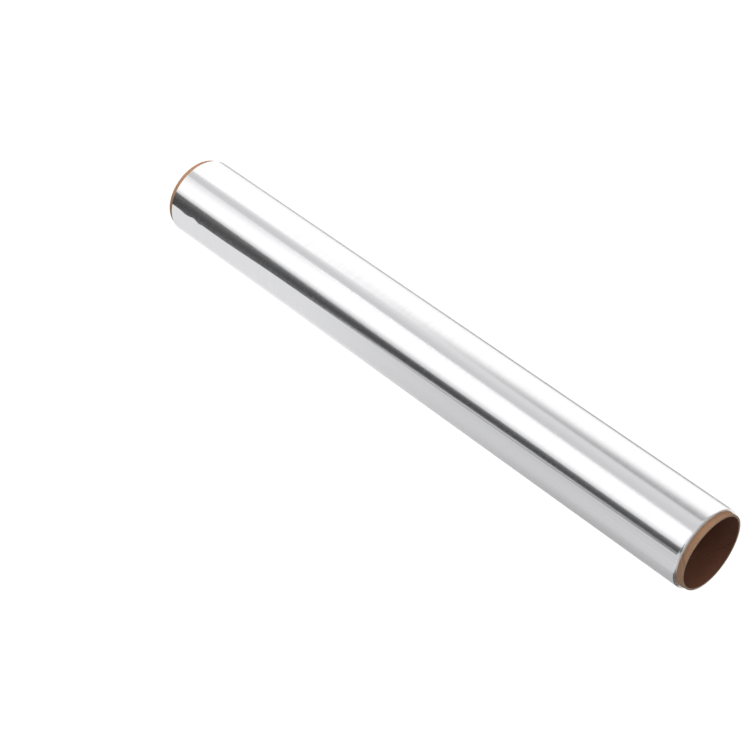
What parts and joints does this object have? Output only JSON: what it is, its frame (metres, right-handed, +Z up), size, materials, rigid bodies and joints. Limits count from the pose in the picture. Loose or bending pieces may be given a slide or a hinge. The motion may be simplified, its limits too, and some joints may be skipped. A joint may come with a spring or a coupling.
{
  "type": "aluminium foil roll",
  "caption": "Household aluminium foil wound on a paperboard core that stands proud at both ends, with a slightly lifted free end.",
  "frame": {"origin": "middle of the core's lower end, on the surface that the roll stands on", "axes": "+Z up along the roll, towards the end where more of the core shows; -Y is the side that shows the foil's free end, which lies between -Y and +X"},
  "size_m": [0.0365, 0.0368, 0.3052],
  "materials": {
    "foil": "bright rolled foil, tightly wound",
    "core": "spiral-wound brown kraft paperboard"
  },
  "bodies": {
    "root": {"core": "core", "foil": "foil"}
  },
  "joints": []
}
